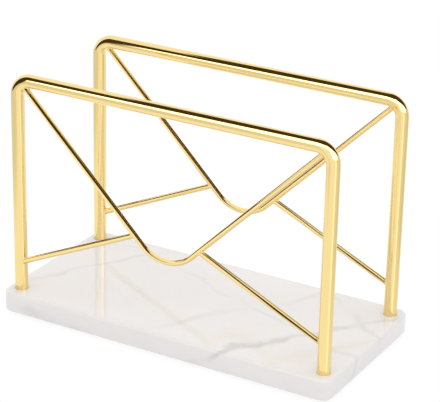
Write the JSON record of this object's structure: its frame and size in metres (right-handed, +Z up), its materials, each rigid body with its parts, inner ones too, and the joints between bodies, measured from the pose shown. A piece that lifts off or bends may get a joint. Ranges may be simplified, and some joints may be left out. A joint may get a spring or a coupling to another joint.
{
  "type": "letter sorter",
  "caption": "Desk letter sorter: bent gold rod frames with wires that draw an envelope stand on a white marble slab and hold letters on edge between them.",
  "frame": {"origin": "middle of the footprint, on the surface that the foot pads stand on", "axes": "+Z up; +X along the slab, to the right as seen from the front; the front faces -Y"},
  "size_m": [0.209, 0.101, 0.1437],
  "materials": {
    "white_marble": "polished white marble with faint grey veins",
    "polished_gold": "mirror-polished gold plating on steel",
    "foot_rubber": "matt black rubber",
    "plated_steel": "bright zinc-plated steel"
  },
  "bodies": {
    "root": {"marble_base": "white_marble", "front_frame": "polished_gold", "front_flap_wire": "polished_gold", "front_left_diagonal": "polished_gold", "front_right_diagonal": "polished_gold", "rear_frame": "polished_gold", "rear_flap_wire": "polished_gold", "rear_left_diagonal": "polished_gold", "rear_right_diagonal": "polished_gold", "front_left_foot_pad": "foot_rubber", "front_right_foot_pad": "foot_rubber", "rear_left_foot_pad": "foot_rubber", "rear_right_foot_pad": "foot_rubber", "base_screws": "plated_steel", "flat_washers": "plated_steel", "spring_washers": "plated_steel"}
  },
  "joints": []
}
